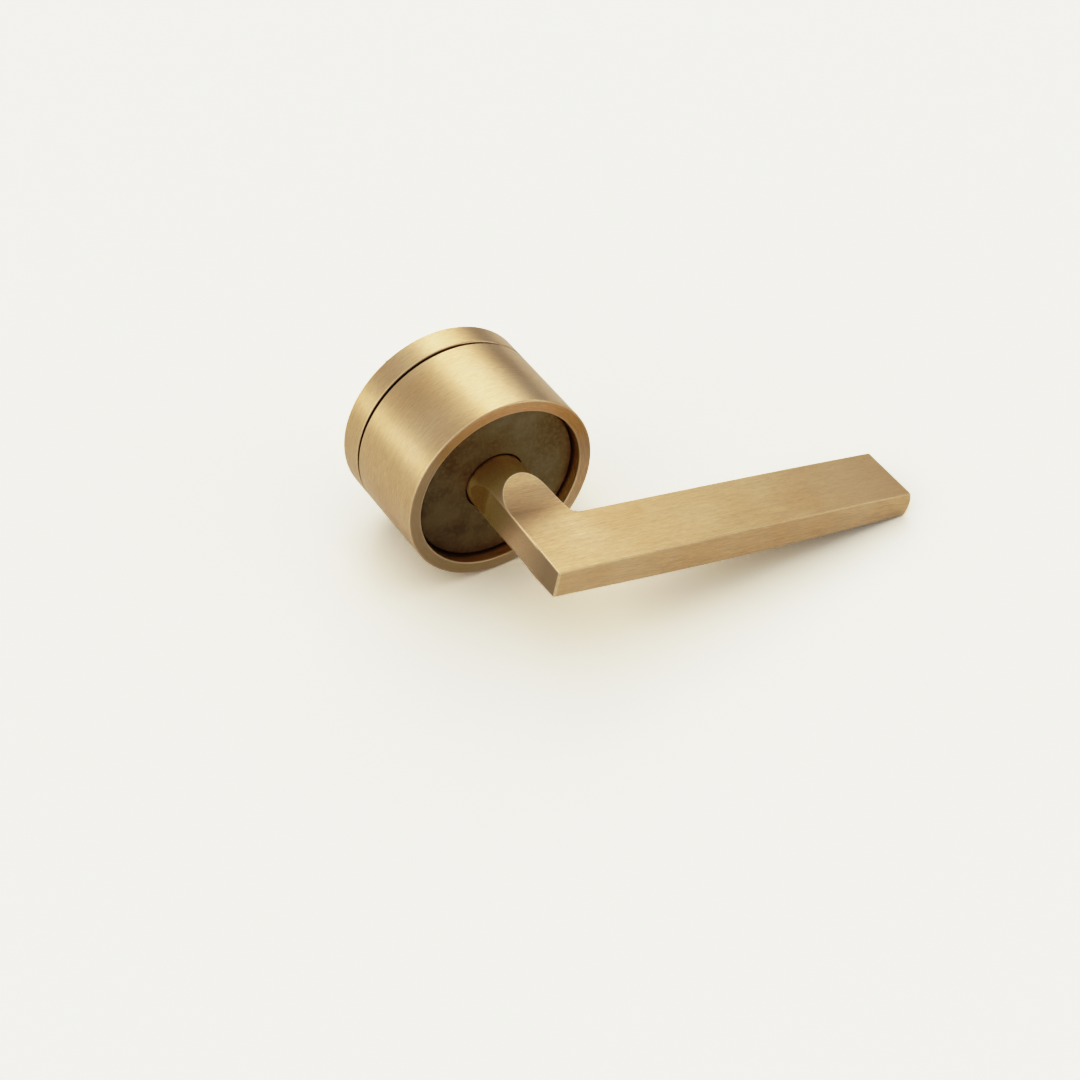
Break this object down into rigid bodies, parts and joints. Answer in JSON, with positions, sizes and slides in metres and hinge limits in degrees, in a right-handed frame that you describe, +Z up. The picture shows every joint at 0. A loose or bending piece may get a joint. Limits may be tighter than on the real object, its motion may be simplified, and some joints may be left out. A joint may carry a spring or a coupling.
{
  "type": "door lever handle",
  "caption": "Straight flat lever handle on a deep round drum rose, with a sprung hub, a square half spindle and tapped fixing posts.",
  "frame": {"origin": "centre of the rose's back face, on the door face, where the spindle's axis meets the door", "axes": "+Y into the door along the spindle, +Z up, +X along the grip at rest; the room side is -Y"},
  "size_m": [0.1474, 0.1062, 0.06],
  "materials": {
    "antique_brass": "brushed satin, lacquered",
    "brass_lever": "brushed satin, lacquered",
    "aged_plate": "dark patina, matte",
    "black_rubber": "matte",
    "black_spacer": "matte",
    "zinc_casting": "bare die-cast zinc",
    "steel": "machined",
    "black_steel": "black oxide",
    "spring_steel": "drawn wire",
    "bush_polymer": "acetal",
    "zinc_plate": "zinc plated"
  },
  "bodies": {
    "rose": {"base_rose": "antique_brass", "back_gasket": "black_rubber", "spacer_ring": "black_spacer", "drum_sleeve": "antique_brass", "sleeve_set_screw": "black_steel", "face_plate": "aged_plate", "neck_seal": "black_rubber", "spring_housing": "zinc_casting", "housing_screws": "black_steel", "fixing_posts": "steel", "rear_bush": "bush_polymer", "front_bush": "bush_polymer", "thrust_washer": "bush_polymer", "spring_washer": "spring_steel", "stop_pins": "steel", "spring_anchor": "steel", "return_spring": "spring_steel"},
    "handle": {"lever": "brass_lever", "hub_shaft": "steel", "half_spindle": "zinc_plate", "drive_key": "steel", "stop_cam": "steel", "spindle_grub_screw": "black_steel", "neck_cross_pin": "steel", "retaining_clip": "black_steel"}
  },
  "joints": [
    {"name": "lever_turn", "type": "hinge", "parent": "rose", "child": "handle", "pos_m": [0, 0, 0], "axis": [0, 1, 0], "range_deg": [0, 45], "stiffness_Nm_per_rad": 1.2, "springref_deg": -25.78, "deforming": ["return_spring"]}
  ]
}
